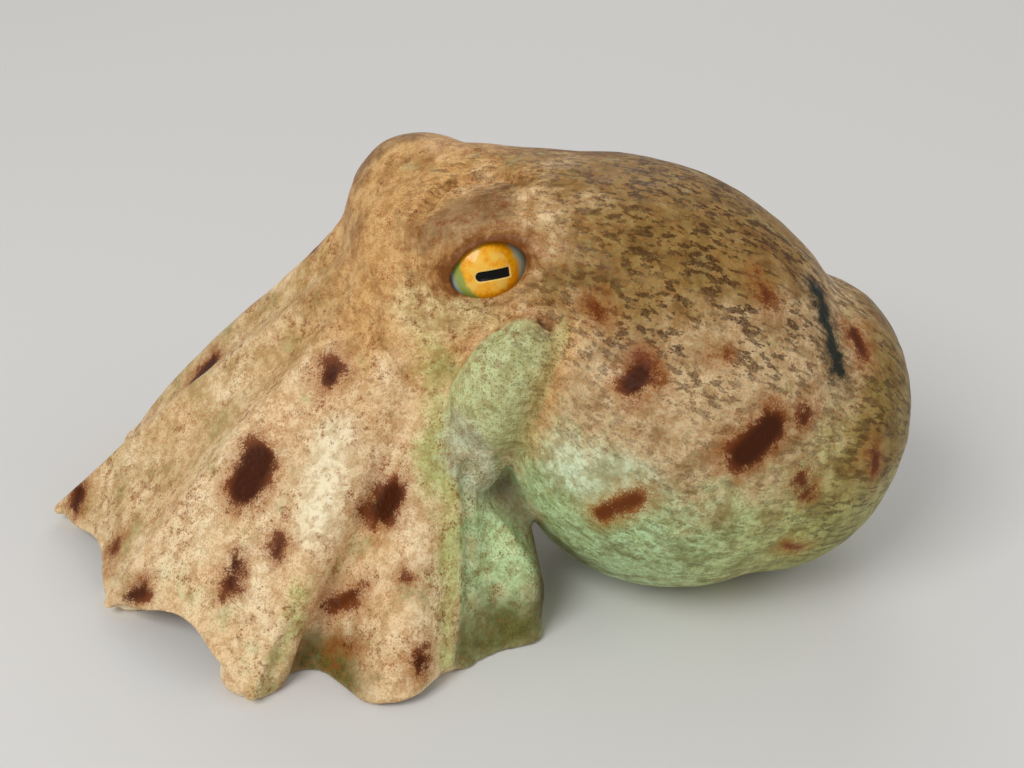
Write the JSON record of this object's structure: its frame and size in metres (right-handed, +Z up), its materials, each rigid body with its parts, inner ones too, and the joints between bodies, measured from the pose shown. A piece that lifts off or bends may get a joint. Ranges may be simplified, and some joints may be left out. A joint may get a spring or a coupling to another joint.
{
  "type": "octopus",
  "caption": "Life-size octopus resting on the floor: round mantle, raised head with horizontal-pupil eyes, side funnel, and webbed arms that fold under or trail behind.",
  "frame": {"origin": "bottom centre of the bounding box, on the floor the animal rests on", "axes": "+Z up, +X from the head towards the tip of the mantle, the animal's left side faces -Y"},
  "size_m": [0.1628, 0.1398, 0.0778],
  "materials": {
    "skin": "moist, finely granular",
    "eye": "wet gloss"
  },
  "bodies": {
    "root": {"arm_left_1_base": "skin", "arm_left_1_middle": "skin", "arm_left_1_tip": "skin", "arm_left_2_base": "skin", "arm_left_2_middle": "skin", "arm_left_2_tip": "skin", "arm_left_3_base": "skin", "arm_left_3_middle": "skin", "arm_left_3_tip": "skin", "arm_left_4_base": "skin", "arm_left_4_middle": "skin", "arm_left_4_tip": "skin", "arm_right_1_base": "skin", "arm_right_1_middle": "skin", "arm_right_1_tip": "skin", "arm_right_2_base": "skin", "arm_right_2_middle": "skin", "arm_right_2_tip": "skin", "arm_right_3_base": "skin", "arm_right_3_middle": "skin", "arm_right_3_tip": "skin", "arm_right_4_base": "skin", "arm_right_4_middle": "skin", "arm_right_4_tip": "skin", "eye_left": "eye", "eye_right": "eye", "funnel": "skin", "head": "skin", "mantle": "skin", "mantle_tip": "skin", "web_left_1_2": "skin", "web_left_2_3": "skin", "web_left_3_4": "skin", "web_left_4_right_4": "skin", "web_right_1_left_1": "skin", "web_right_2_1": "skin", "web_right_3_2": "skin", "web_right_4_3": "skin"}
  },
  "joints": []
}
